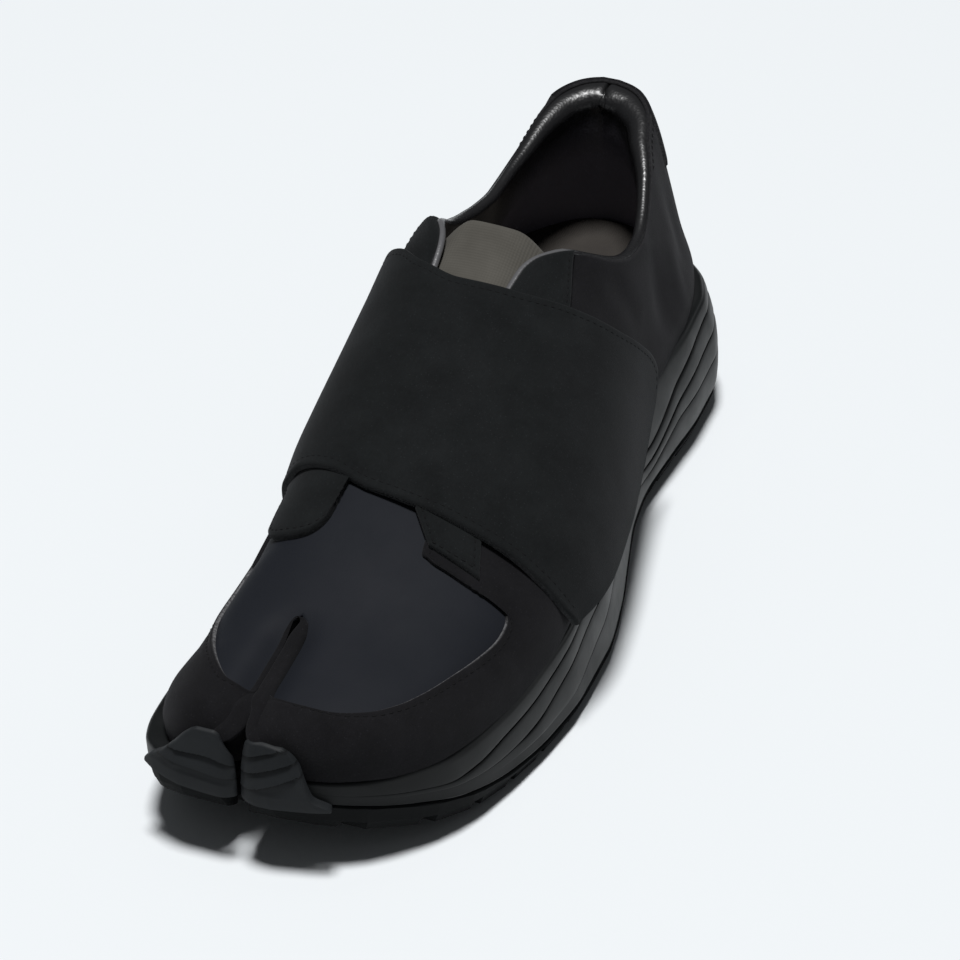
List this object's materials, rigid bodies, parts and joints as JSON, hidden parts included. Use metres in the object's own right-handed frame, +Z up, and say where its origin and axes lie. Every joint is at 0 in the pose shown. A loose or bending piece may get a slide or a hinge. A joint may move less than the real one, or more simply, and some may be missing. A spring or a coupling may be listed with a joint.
{
  "type": "tabi sneaker",
  "caption": "Low split-toe sneaker for the left foot, black suede with a smooth dark vamp panel, one wide fastened strap over the instep and a layered running sole.",
  "frame": {"origin": "on the floor below the middle of the shoe's width and length", "axes": "+Z up from the floor, -Y towards the toes, +Y towards the heel, +X towards the outer (lateral) side of the left foot"},
  "size_m": [0.1022, 0.2892, 0.0969],
  "materials": {
    "suede": "napped suede, matte",
    "vamp_leather": "smooth brushed leather, low sheen",
    "lining": "padded lining leather, semi-gloss",
    "foam": "moulded foam, satin",
    "rubber": "moulded rubber, matte",
    "toe_rubber": "ribbed rubber, satin",
    "tongue_fabric": "padded knit, matte",
    "footbed": "napped footbed cover, matte"
  },
  "bodies": {
    "root": {"outsole": "rubber", "midsole": "foam", "upper": "suede", "insole": "footbed", "tongue": "tongue_fabric", "strap": "suede", "mudguard_lateral": "suede", "mudguard_medial": "suede", "tab_lateral": "suede", "tab_medial": "suede", "lobe_lateral": "suede", "lobe_medial": "suede", "toe_guard_lateral": "toe_rubber", "toe_guard_medial": "toe_rubber"}
  },
  "joints": []
}
